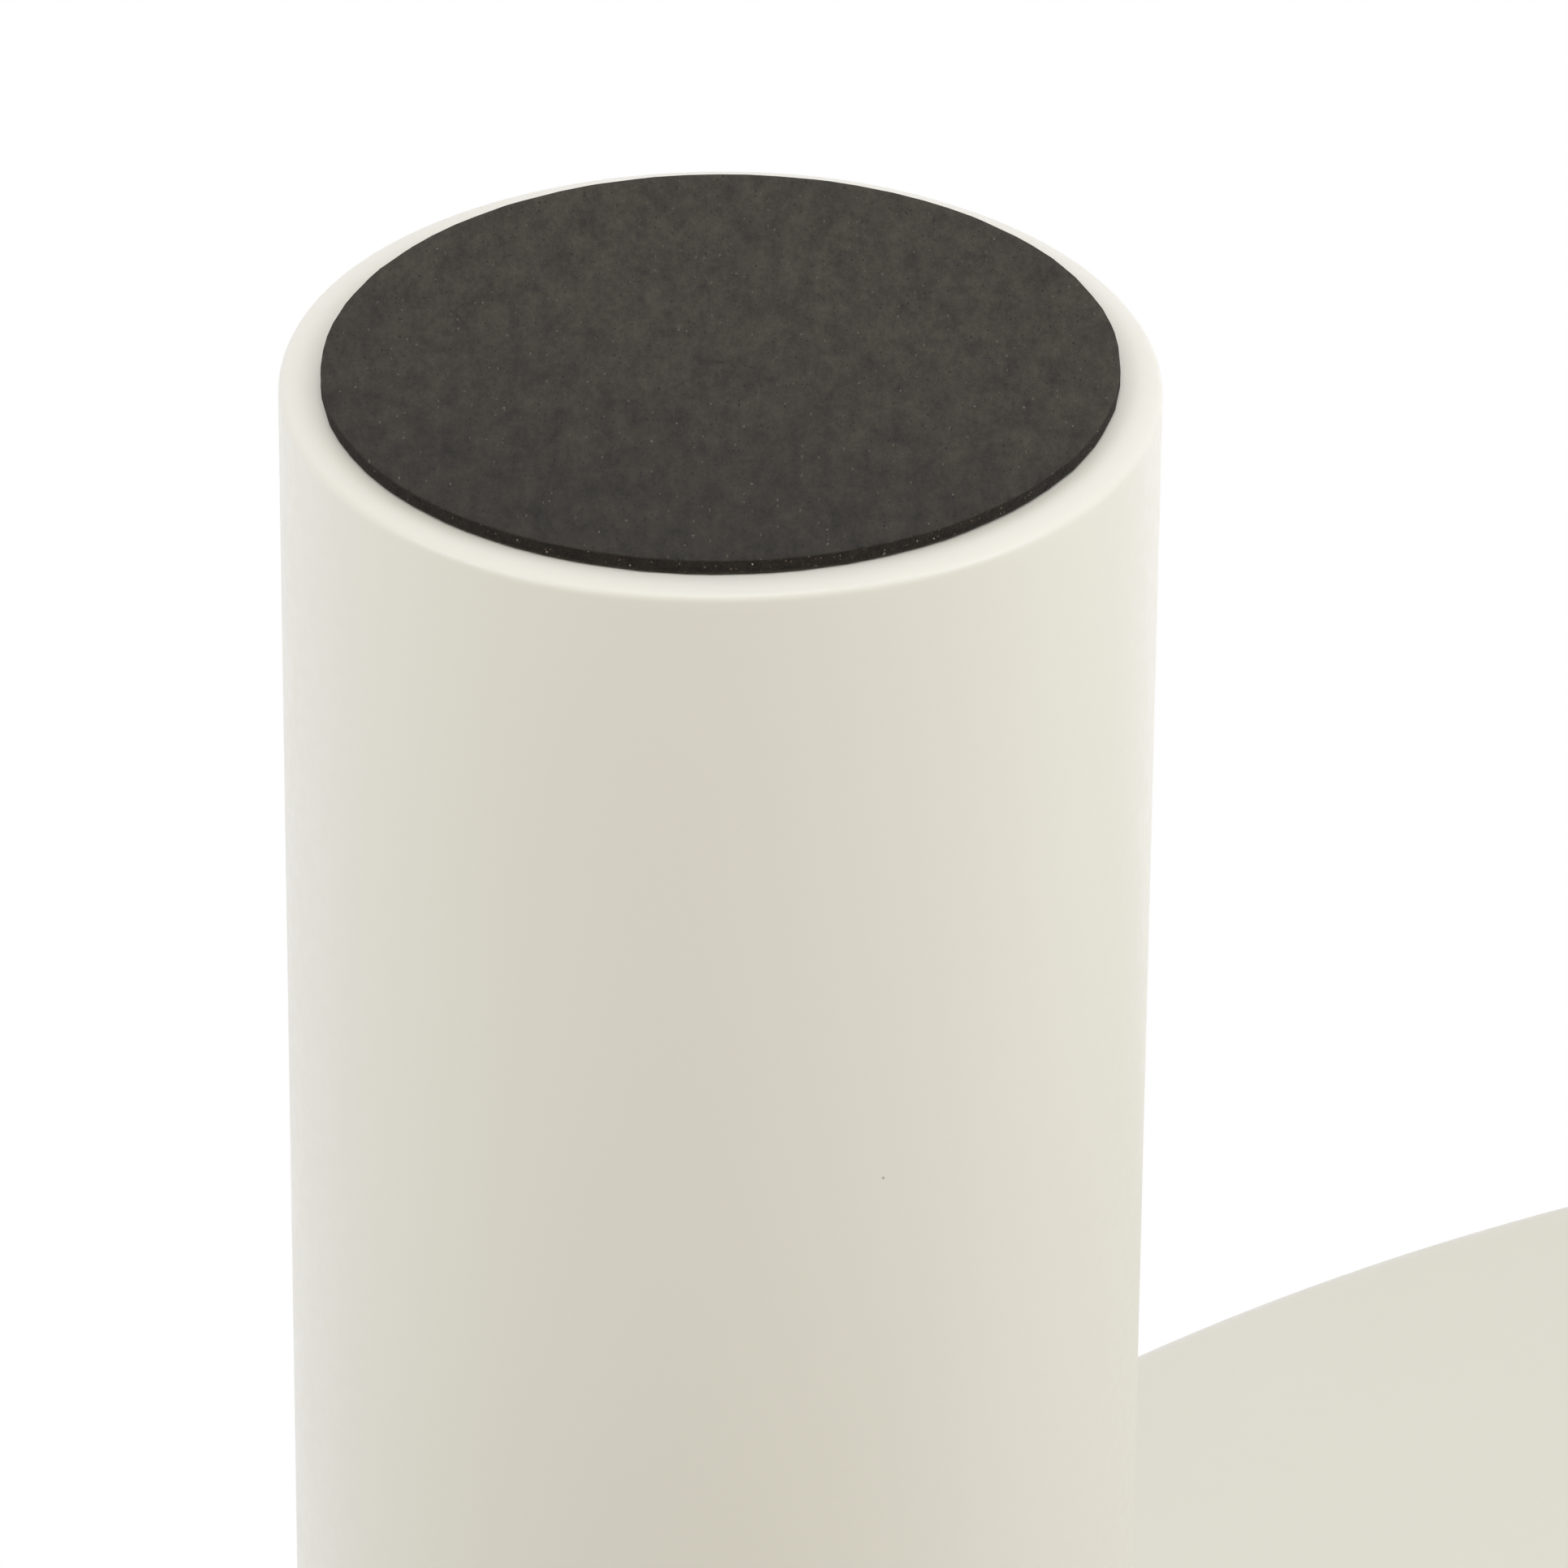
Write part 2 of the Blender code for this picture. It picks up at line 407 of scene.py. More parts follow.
class Felt(EffectGroup):
    """Mottling that is as strong in its finest grain as in its broadest clouds: a mask from 0 to 1."""

    name = "felt"
    grains_per_cloud = 24.0
    inputs = {
        "Place": ("Vector", None),
        "Clouds per metre": ("Float", 90.0),
        "Contrast": ("Float", 3.0),
    }
    outputs = {"Mask": "Float", "Relief": "Float"}

    @classmethod
    def fill(cls, sheet: NodeSheet, given: list[bpy.types.NodeSocket]) -> dict[str, bpy.types.NodeSocket]:
        """Nearly equal octaves of noise, stretched about the middle, and finer noise for the relief.

        Args:
            sheet: the group's own sheet.
            given: its inputs, in order.

        Returns:
            The mask and the relief.
        """
        place, clouds, contrast = given
        noise = sheet.add("TexNoise", {"Vector": place, "Scale": clouds, "Detail": 7.0, "Roughness": 0.92})
        raised = sheet.math("MULTIPLY", sheet.math("SUBTRACT", noise.outputs["Fac"], 0.5), contrast)
        mask = sheet.add("Clamp", {"Value": sheet.math("ADD", raised, 0.5)}).outputs[0]
        finest = sheet.math("MULTIPLY", clouds, cls.grains_per_cloud)
        grain = sheet.add("TexNoise", {"Vector": place, "Scale": finest, "Detail": 2.0, "Roughness": 0.7})
        return {"Mask": mask, "Relief": grain.outputs["Fac"]}


class Specks(EffectGroup):
    """Scattered round dots: a mask that is 1 in a few cells' middles and 0 elsewhere."""

    name = "specks"
    dimensions = "3D"
    ripples_per_cell = 3.0
    inputs = {
        "Place": ("Vector", None),
        "Cells per metre": ("Float", 500.0),
        "Size": ("Float", 0.2),
        "Share": ("Float", 0.1),
        "Ragged": ("Float", 0.0),
    }
    outputs = {"Mask": "Float"}

    @classmethod
    def fill(cls, sheet: NodeSheet, given: list[bpy.types.NodeSocket]) -> dict[str, bpy.types.NodeSocket]:
        """Distance to the nearest cell's middle under Size, where the cell's random number is under Share.

        Ragged pushes every point by up to half of its value in metres, so that the dots aren't round.

        Args:
            sheet: the group's own sheet.
            given: its inputs, in order.

        Returns:
            The mask.
        """
        place, cells, size, share, ragged = given
        ripple = sheet.math("MULTIPLY", cells, cls.ripples_per_cell)
        noise = sheet.add("TexNoise", {"Vector": place, "Scale": ripple, "Detail": 1.0}).outputs["Color"]
        push = sheet.add("VectorMath", {0: noise, 1: (0.5, 0.5, 0.5)}, operation="SUBTRACT").outputs[0]
        push = sheet.add("VectorMath", {0: push, 3: ragged}, operation="SCALE").outputs[0]
        pushed = sheet.add("VectorMath", {0: place, 1: push}, operation="ADD").outputs[0]
        grid = {"Vector": pushed, "Scale": cells}
        cell = sheet.add("TexVoronoi", grid, voronoi_dimensions=cls.dimensions)
        inner = sheet.math("SUBTRACT", 1.0, sheet.math("DIVIDE", cell.outputs["Distance"], size))
        dot = sheet.spread(inner, 0.0, 0.6)
        chance = sheet.add("SeparateColor", {0: cell.outputs["Color"]})
        chosen = sheet.math("LESS_THAN", chance.outputs[0], share)
        return {"Mask": sheet.math("MULTIPLY", dot, chosen)}


class FlatSpecks(Specks):
    """The same dots on a level face, where each cell's middle lies in the face."""

    name = "flat_specks"
    dimensions = "2D"


class SprayCoat(EffectGroup):
    """The faint relief and tone of a sprayed coat: orange peel, slow swells and cloudy tone."""

    name = "spray_coat"
    inputs = {
        "Place": ("Vector", None),
        "Peel per metre": ("Float", 500.0),
        "Swell per metre": ("Float", 12.0),
        "Swell share": ("Float", 0.5),
    }
    outputs = {"Relief": "Float", "Tone": "Float"}

    @classmethod
    def fill(cls, sheet: NodeSheet, given: list[bpy.types.NodeSocket]) -> dict[str, bpy.types.NodeSocket]:
        """Fine and slow noise, mixed by the share for the relief, and the slow noise alone for the tone.

        Args:
            sheet: the group's own sheet.
            given: its inputs, in order.

        Returns:
            The relief and the tone.
        """
        place, peel, swell, share = given
        fine = sheet.add("TexNoise", {"Vector": place, "Scale": peel, "Detail": 1.0, "Roughness": 0.4})
        slow = sheet.add("TexNoise", {"Vector": place, "Scale": swell, "Detail": 2.0, "Roughness": 0.5})
        parts = {0: share, 2: fine.outputs["Fac"], 3: slow.outputs["Fac"]}
        mixed = sheet.add("Mix", parts, data_type="FLOAT")
        return {"Relief": mixed.outputs[0], "Tone": sheet.spread(slow.outputs["Fac"], 0.3, 0.7)}


# ---------------------------------------------------------------------------------------------
# Finishes
# ---------------------------------------------------------------------------------------------


@dataclass(frozen=True)
class Finish:
    """A surface finish, which builds its material once."""

    name: str
    slot: str

    def material(self) -> bpy.types.Material:
        """The finish's material.

        Returns:
            The material, which is made by the first call.
        """
        known = bpy.data.materials.get(self.name)
        if known is not None:
            return known
        material = bpy.data.materials.new(self.name)
        material.use_nodes = True
        sheet = NodeSheet(material.node_tree)
        place = sheet.add("TexCoord").outputs["Object"]
        shader = self.shade(sheet, place)
        sheet.add("OutputMaterial", {"Surface": shader.outputs[0]})
        return material

    def shade(self, sheet: NodeSheet, place: bpy.types.NodeSocket) -> bpy.types.Node:
        """Adds the finish's nodes.

        Args:
            sheet: the material's sheet.
            place: the socket of the Object coordinates.

        Returns:
            The finish's shader.
        """
        raise NotImplementedError

    def dress(self, piece: bpy.types.Object) -> None:
        """Puts the finish on every face of a piece.

        Args:
            piece: the piece, with or without material slots of its own.
        """
        if piece.material_slots:
            for place in piece.material_slots:
                place.material = self.material()
        else:
            piece.data.materials.append(self.material())


@dataclass(frozen=True)
class SatinLacquer(Finish):
    """Cream lacquer, sprayed and rubbed down to a satin."""

    color: Color = (0.742, 0.715, 0.634)
    cloud_color: Color = (0.736, 0.708, 0.626)
    speck_color: Color = (0.40, 0.37, 0.31)
    roughness: tuple[float, float] = (0.36, 0.46)
    peel_per_metre: float = 420.0
    peel_height: float = 0.012 * MM

    def shade(self, sheet: NodeSheet, place: bpy.types.NodeSocket) -> bpy.types.Node:
        """Cloudy cream with a few pin-prick specks, over a faint orange peel.

        Args:
            sheet: the material's sheet.
            place: the socket of the Object coordinates.

        Returns:
            The shader.
        """
        coat = SprayCoat.place(sheet, Place=place, Peel_per_metre=self.peel_per_metre, Swell_share=0.3)
        tone = sheet.mix(coat.outputs["Tone"], self.color, self.cloud_color)
        dirt = Specks.place(sheet, Place=place, Cells_per_metre=70.0, Size=0.02, Share=0.16)
        color = sheet.mix(dirt.outputs["Mask"], tone, self.speck_color)
        rough = sheet.spread(coat.outputs["Relief"], 0.35, 0.65, *self.roughness)
        normal = sheet.bump(coat.outputs["Relief"], self.peel_height, 1.0)
        looks = {"Base Color": color, "Roughness": rough, "IOR": 1.48, "Normal": normal}
        return sheet.add("BsdfPrincipled", looks)


@dataclass(frozen=True)
class FoamSheet(Finish):
    """Black closed-cell foam, skived into a sheet: a mottled, matt face with open pits, dust and lint.

    The face has painted light and shade: its colours are painted darker on one side of its middle and paler
    towards the other, as light falls across it.
    """

    color: Color = (0.0112, 0.0091, 0.0064)
    pale_color: Color = (0.0626, 0.0542, 0.0393)
    pit_color: Color = (0.0140, 0.0118, 0.0085)
    dust_color: Color = (0.080, 0.068, 0.054)
    lint_color: Color = (0.105, 0.098, 0.088)
    nap_angle: float = -29.8
    nap_stretch: float = 2.4
    contrast: float = 2.7
    pits: Dots = (1300.0, 0.24, 0.09, 0.4 * MM)
    dust: Dots = (900.0, 0.13, 0.09, 0.5 * MM)
    lint: Dots = (300.0, 0.045, 0.10, 0.6 * MM)
    # Painted light and shade on the face: its colours are scaled down by the first value below on the dim
    # side, and rise to full over the given reach towards the given heading from the middle.
    painted_shade_factor: float = 0.66
    middle: tuple[float, float] = (0.0, 0.0)
    painted_light_towards: float = 0.0
    painted_light_reach: tuple[float, float] = (-60 * MM, 22 * MM)
    relief_height: float = 0.05 * MM

    def shade(self, sheet: NodeSheet, place: bpy.types.NodeSocket) -> bpy.types.Node:
        """Felt drawn out along the nap, with painted light and shade across it, dark pits sunk into it, and
        dust and short lint lying on it.

        Args:
            sheet: the material's sheet.
            place: the socket of the Object coordinates.

        Returns:
            The shader.
        """
        turn = (0.0, 0.0, math.radians(self.nap_angle))
        stretch = {"Vector": place, "Rotation": turn, "Scale": (1.0, self.nap_stretch, 1.0)}
        nap = sheet.add("Mapping", stretch, vector_type="TEXTURE").outputs[0]
        felt = Felt.place(sheet, Place=nap, Clouds_per_metre=240.0, Contrast=self.contrast)
        pits, dust, lint = (
            FlatSpecks.place(sheet, Place=nap, Cells_per_metre=cells, Size=size, Share=share, Ragged=ragged)
            for cells, size, share, ragged in (self.pits, self.dust, self.lint)
        )
        # Painted light and shade: the felt is painted darker on one side of the face and kept at full
        # colour towards the other.
        painted_shade_tone = sheet.mix(felt.outputs["Mask"], self.in_painted_shade(self.color), self.in_painted_shade(self.pale_color))
        painted_light_tone = sheet.mix(felt.outputs["Mask"], self.color, self.pale_color)
        painted_light_share = sheet.spread(sheet.along(place, self.middle, self.painted_light_towards), *self.painted_light_reach)
        tone = sheet.mix(painted_light_share, painted_shade_tone, painted_light_tone)
        pitted = sheet.mix(pits.outputs["Mask"], tone, self.pit_color)
        dusty = sheet.mix(dust.outputs["Mask"], pitted, self.dust_color)
        color = sheet.mix(lint.outputs["Mask"], dusty, self.lint_color)
        sunk = sheet.math("SUBTRACT", felt.outputs["Relief"], pits.outputs["Mask"])
        normal = sheet.bump(sunk, self.relief_height, 0.8)
        looks = {"Base Color": color, "Roughness": 0.88, "IOR": 1.4, "Normal": normal}
        return sheet.add("BsdfPrincipled", looks)

    def in_painted_shade(self, color: Color) -> Color:
        """A colour darkened by the painted shade on the face's dim side."""
        return tuple(self.painted_shade_factor * value for value in color)


@dataclass(frozen=True)
class FoamCut(Finish):
    """The foam's knife-cut side: torn cells, darker than the face, with crumbs of glue and dust.

    The crumbs lie thicker towards one side of its middle. Crumbs and lint are given by their cells per
    metre, their size in cells and their raggedness.
    """

    color: Color = (0.0078, 0.0065, 0.0050)
    pale_color: Color = (0.0265, 0.0210, 0.0155)
    crumb_color: Color = (0.15, 0.105, 0.075)
    lint_color: Color = (0.42, 0.38, 0.32)
    middle: tuple[float, float] = (0.0, 0.0)
    crumbs_towards: float = 0.0
    crumb_reach: tuple[float, float] = (-20 * MM, 45 * MM)
    crumb_share: tuple[float, float] = (0.05, 0.32)
    crumbs: tuple[float, float, float] = (1700.0, 0.30, 0.4 * MM)
    lint: tuple[float, float, float] = (700.0, 0.13, 0.5 * MM)
    relief_height: float = 0.12 * MM

    def shade(self, sheet: NodeSheet, place: bpy.types.NodeSocket) -> bpy.types.Node:
        """Coarse dark grain with brown crumbs and pale lint, over a torn relief.

        Args:
            sheet: the material's sheet.
            place: the socket of the Object coordinates.

        Returns:
            The shader.
        """
        grain = Grain.place(
            sheet, Place=place, Grains_per_metre=2400.0, Clouds_per_metre=500.0, Cloud_share=0.4
        )
        side = sheet.along(place, self.middle, self.crumbs_towards)
        share = sheet.spread(side, *self.crumb_reach, *self.crumb_share)
        crumbs, lint = (
            Specks.place(sheet, Place=place, Cells_per_metre=cells, Size=size, Share=share, Ragged=ragged)
            for cells, size, ragged in (self.crumbs, self.lint)
        )
        tone = sheet.mix(grain.outputs["Mask"], self.color, self.pale_color)
        dusty = sheet.mix(crumbs.outputs["Mask"], tone, self.crumb_color)
        color = sheet.mix(lint.outputs["Mask"], dusty, self.lint_color)
        normal = sheet.bump(grain.outputs["Relief"], self.relief_height, 1.0)
        looks = {"Base Color": color, "Roughness": 0.92, "IOR": 1.35, "Normal": normal}
        return sheet.add("BsdfPrincipled", looks)


@dataclass(frozen=True)
class GlueFilm(Finish):
    """The film of brown contact glue between a pad and its foot."""

    color: Color = (0.10, 0.062, 0.040)
    dark_color: Color = (0.035, 0.024, 0.018)

    def shade(self, sheet: NodeSheet, place: bpy.types.NodeSocket) -> bpy.types.Node:
        """Blotchy brown with a slight gloss.

        Args:
            sheet: the material's sheet.
            place: the socket of the Object coordinates.

        Returns:
            The shader.
        """
        grain = Grain.place(
            sheet, Place=place, Grains_per_metre=1500.0, Clouds_per_metre=260.0, Cloud_share=0.6
        )
        color = sheet.mix(grain.outputs["Mask"], self.dark_color, self.color)
        return sheet.add("BsdfPrincipled", {"Base Color": color, "Roughness": 0.45, "IOR": 1.5})


@dataclass(frozen=True)
class Fibreboard(Finish):
    """Raw fibreboard: pressed brown fibres with darker and paler flecks."""

    color: Color = (0.33, 0.215, 0.125)
    pale_color: Color = (0.46, 0.33, 0.205)
    fleck_color: Color = (0.13, 0.08, 0.045)
    relief_height: float = 0.08 * MM

    def shade(self, sheet: NodeSheet, place: bpy.types.NodeSocket) -> bpy.types.Node:
        """Felted fibre tones with dark flecks, over a fuzzy relief.

        Args:
            sheet: the material's sheet.
            place: the socket of the Object coordinates.

        Returns:
            The shader.
        """
        grain = Grain.place(
            sheet, Place=place, Grains_per_metre=1400.0, Clouds_per_metre=90.0, Cloud_share=0.35
        )
        flecks = Specks.place(sheet, Place=place, Cells_per_metre=600.0, Size=0.3, Share=0.12)
        tone = sheet.mix(grain.outputs["Mask"], self.color, self.pale_color)
        color = sheet.mix(flecks.outputs["Mask"], tone, self.fleck_color)
        normal = sheet.bump(grain.outputs["Relief"], self.relief_height, 0.9)
        return sheet.add("BsdfPrincipled", {"Base Color": color, "Roughness": 0.92, "Normal": normal})


@dataclass(frozen=True)
class BareMetal(Finish):
    """Small metal hardware: cast zinc when dull, plated steel when bright."""

    color: Color = (0.66, 0.66, 0.67)
    dull_color: Color = (0.50, 0.50, 0.50)
    roughness: tuple[float, float] = (0.22, 0.38)
    relief_height: float = 0.01 * MM

    def shade(self, sheet: NodeSheet, place: bpy.types.NodeSocket) -> bpy.types.Node:
        """Metal whose tone and gloss vary with a fine grain.

        Args:
            sheet: the material's sheet.
            place: the socket of the Object coordinates.

        Returns:
            The shader.
        """
        grain = Grain.place(
            sheet, Place=place, Grains_per_metre=2200.0, Clouds_per_metre=300.0, Cloud_share=0.5
        )
        color = sheet.mix(grain.outputs["Mask"], self.dull_color, self.color)
        rough = sheet.spread(grain.outputs["Relief"], 0.0, 1.0, *self.roughness)
        normal = sheet.bump(grain.outputs["Relief"], self.relief_height, 0.6)
        looks = {"Base Color": color, "Metallic": 1.0, "Roughness": rough, "Normal": normal}
        return sheet.add("BsdfPrincipled", looks)


LEG_LACQUER = SatinLacquer("leg_lacquer", "lacquer")
TOP_LACQUER = SatinLacquer(
    "top_lacquer", "lacquer", (0.748, 0.715, 0.618), (0.742, 0.708, 0.610),
    roughness=(0.38, 0.48), peel_per_metre=360.0,
)
PAD_GLUE = GlueFilm("brown_contact_glue", "foam")
RAW_BOARD = Fibreboard("raw_fibreboard", "board")
CAST_ZINC = BareMetal("cast_zinc", "zinc", (0.60, 0.59, 0.56), (0.42, 0.41, 0.39), (0.34, 0.52), 0.02 * MM)
PLATED_STEEL = BareMetal("plated_steel", "steel")


# ---------------------------------------------------------------------------------------------
# The table
# ---------------------------------------------------------------------------------------------


def settle(piece: bpy.types.Object, finish: Finish, stands_for: str | None = None) -> None:
    """Finishes a new piece: its looks, the body that it rides on and the CAD node that it stands for.

    Args:
        piece: the new piece.
        finish: its finish.
        stands_for: the CAD node that it replaces, or None for a piece that only the eye needs.
    """
    finish.dress(piece)
    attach(piece, BODY)
    if stands_for is not None:
        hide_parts(stands_for)
    LOG.info("%s: %d faces, %s", piece.name, len(piece.data.polygons), finish.name)


@dataclass
class RoundTop:
    """The slab top, with a soft rim and a stepped blind hole over each leg."""

    node: str = "table_top"
    edge_round: float = 8 * MM
    sides: int = 720
    round_steps: int = 14
    support: float = 1.5 * MM
    underside_hub: float = 0.2
    face_hub: float = 0.1
    underside_steps: int = 8
    face_steps: int = 9
    seat_radius: float = 9.8 * MM
    seat_depth: float = 1.5 * MM
    hole_radius: float = 7.35 * MM
    hole_depth: float = 20 * MM
    hole_sides: int = 48
    low: Vector = field(init=False)
    high: Vector = field(init=False)

    def __post_init__(self) -> None:
        """Reads the slab's place from the frame."""
        self.low, self.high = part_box(self.node)

    def profile(self) -> np.ndarray:
        """Outline from the underside's middle outwards: flat, quarter round, wall, quarter round, flat.

        Returns:
            Rows of (r, z). The hubs are the innermost points, as shares of the radius.
        """
        radius = self.high.x
        rim = radius - self.edge_round
        floor, ceiling = self.low.z, self.high.z
        inner = rim - self.support
        return np.concatenate([
            line((self.underside_hub * radius, floor), (inner, floor), self.underside_steps),
            line((inner, floor), (rim, floor), 1),
            arc((rim, floor + self.edge_round), self.edge_round, -90, 0, self.round_steps),
            arc((rim, ceiling - self.edge_round), self.edge_round, 0, 90, self.round_steps),
            line((inner, ceiling), (self.face_hub * radius, ceiling), self.face_steps),
        ])

    def hole(self, leg: Leg) -> bpy.types.Object:
        """The cutter for one insert: a turned, stepped plug that starts below the underside.

        Args:
            leg: the leg whose insert it is for.

        Returns:
            The cutter, in its place.
        """
        centre = sum(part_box(f"top_insert_{leg.value}"), Vector()) / 2
        floor = self.low.z
        outline = np.array([
            (self.seat_radius, floor - self.hole_depth),
            (self.seat_radius, floor + self.seat_depth),
            (self.hole_radius, floor + self.seat_depth),
            (self.hole_radius, floor + self.hole_depth),
        ])
        rings = revolve(outline, self.hole_sides) + np.array([centre.x, centre.y, 0.0])
        return build_shell(f"insert_hole_{leg.value}", rings)

    def build(self) -> None:
        """Makes the slab, cuts its holes and lacquers it."""
        slab = build_shell("round_top", revolve(self.profile(), self.sides))
        carve(slab, [self.hole(leg) for leg in Leg])
        settle(slab, TOP_LACQUER, self.node)


@dataclass
class HollowLeg:
    """One leg's tube: a thick wall, eased round its foot by hand, and with a broken edge at its head."""

    leg: Leg
    turn: float = 0.0
    wall: float = 9 * MM
    crown_width: float = 5 * MM
    crown_drop: float = 1.0 * MM
    edge_round: float = 1.4 * MM
    shallows: tuple[tuple[float, float, float], ...] = ((228.0, 0.68, 26.0), (75.0, 0.35, 26.0))
    crown_scatter: float = 0.05
    crown_waves: range = range(2, 12)
    head_break: float = 0.6 * MM
    side_drift: float = 0.015 * MM
    side_waves: range = range(2, 9)
    sides: int = 360
    foot_steps: int = 3
    crown_steps: int = 10
    edge_steps: int = 6
    length_steps: int = 24
    break_steps: int = 2
    head_steps: int = 4

    CROWN_SEED = 60

    def profile(self, radius: float, foot: float, head: float) -> np.ndarray:
        """Outline of the wall: flat foot, eased ring, its small edge, the side, the head and the bore.

        The eased ring is an arc of radius (w^2 + d^2) / 2d for its width w and drop d. The edge's arc
        touches that arc and the side, so its middle is as far from both as its own radius.

        Args:
            radius: the leg's radius.
            foot: the height of its foot.
            head: the height of its head.

        Returns:
            Rows of (r, z), once round the wall.
        """
        bore = radius - self.wall
        shoulder = head - self.head_break
        crown = (self.crown_width**2 + self.crown_drop**2) / (2 * self.crown_drop)
        reach, turn = self.crown_width - self.edge_round, crown - self.edge_round
        edge_height = foot + crown - math.sqrt(turn**2 - reach**2)
        meeting = math.degrees(math.asin(reach / turn)) - 90
        crown_arc = arc((radius - self.crown_width, foot + crown), crown, -90, meeting, self.crown_steps)
        edge_middle = (radius - self.edge_round, edge_height)
        edge_arc = arc(edge_middle, self.edge_round, meeting, 0, self.edge_steps)
        return np.concatenate([
            line((bore, foot), (radius - self.crown_width, foot), self.foot_steps),
            crown_arc[:-1],
            edge_arc,
            line((radius, edge_height + self.crown_drop), (radius, shoulder), self.length_steps),
            line((radius, shoulder), (radius - self.head_break, head), self.break_steps),
            line((radius - self.head_break, head), (bore, head), self.head_steps),
            line((bore, head), (bore, foot), self.length_steps),
        ])

    def build(self) -> None:
        """Turns the tube, then varies how deep the foot is eased and lets the side drift a little."""
        node = f"leg_tube_{self.leg.value}"
        low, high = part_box(node)
        centre = (low + high) / 2
        outline = self.profile((high.x - low.x) / 2, low.z, high.z)
        rings = revolve(outline, self.sides)
        seed = list(Leg).index(self.leg)
        self.vary_crown(rings, outline, low.z, seed)
        along = (outline[:, 1:2] - low.z) / (high.z - low.z)
        swell = ring_noise(self.sides, self.side_waves, seed) * np.sin(np.pi * along) ** 2
        inward = self.side_drift * (1 + swell / NOISE_PEAK) / np.hypot(rings[:, :, 0], rings[:, :, 1])
        rings[:, :, :2] *= (1 - inward)[:, :, None]
        tube = build_shell(f"hollow_leg_{self.leg.value}", rings + [centre.x, centre.y, 0.0], ring=True)
        settle(tube, LEG_LACQUER, node)

    def vary_crown(self, rings: np.ndarray, outline: np.ndarray, foot: float, seed: int) -> None:
        """Lifts or drops the eased ring: less easing in a few places, and a small scatter all round.

        Each of the shallows is a direction in degrees, the share that is left out there, and the spread
        over which that fades as exp(-x^2). The change is a share of each point's own height over the
        foot, counted up to the ring's drop.

        Args:
            rings: the tube's points, which are changed.
            outline: the profile that they were turned from.
            foot: the height of the foot.
            seed: picks the scatter.
        """
        change = self.crown_scatter * ring_noise(self.sides, self.crown_waves, seed + self.CROWN_SEED)
        for heading, share, spread in self.shallows:
            off = (np.degrees(ring_angles(self.sides)) - heading - self.turn + 180) % 360 - 180
            change -= share * np.exp(-((off / spread) ** 2))
        height = np.minimum(outline[:, 1] - foot, self.crown_drop)
        outer = np.arange(len(outline)) < self.foot_steps + self.crown_steps + self.edge_steps + 1
        rings[:, :, 2] += (height * outer)[:, None] * change


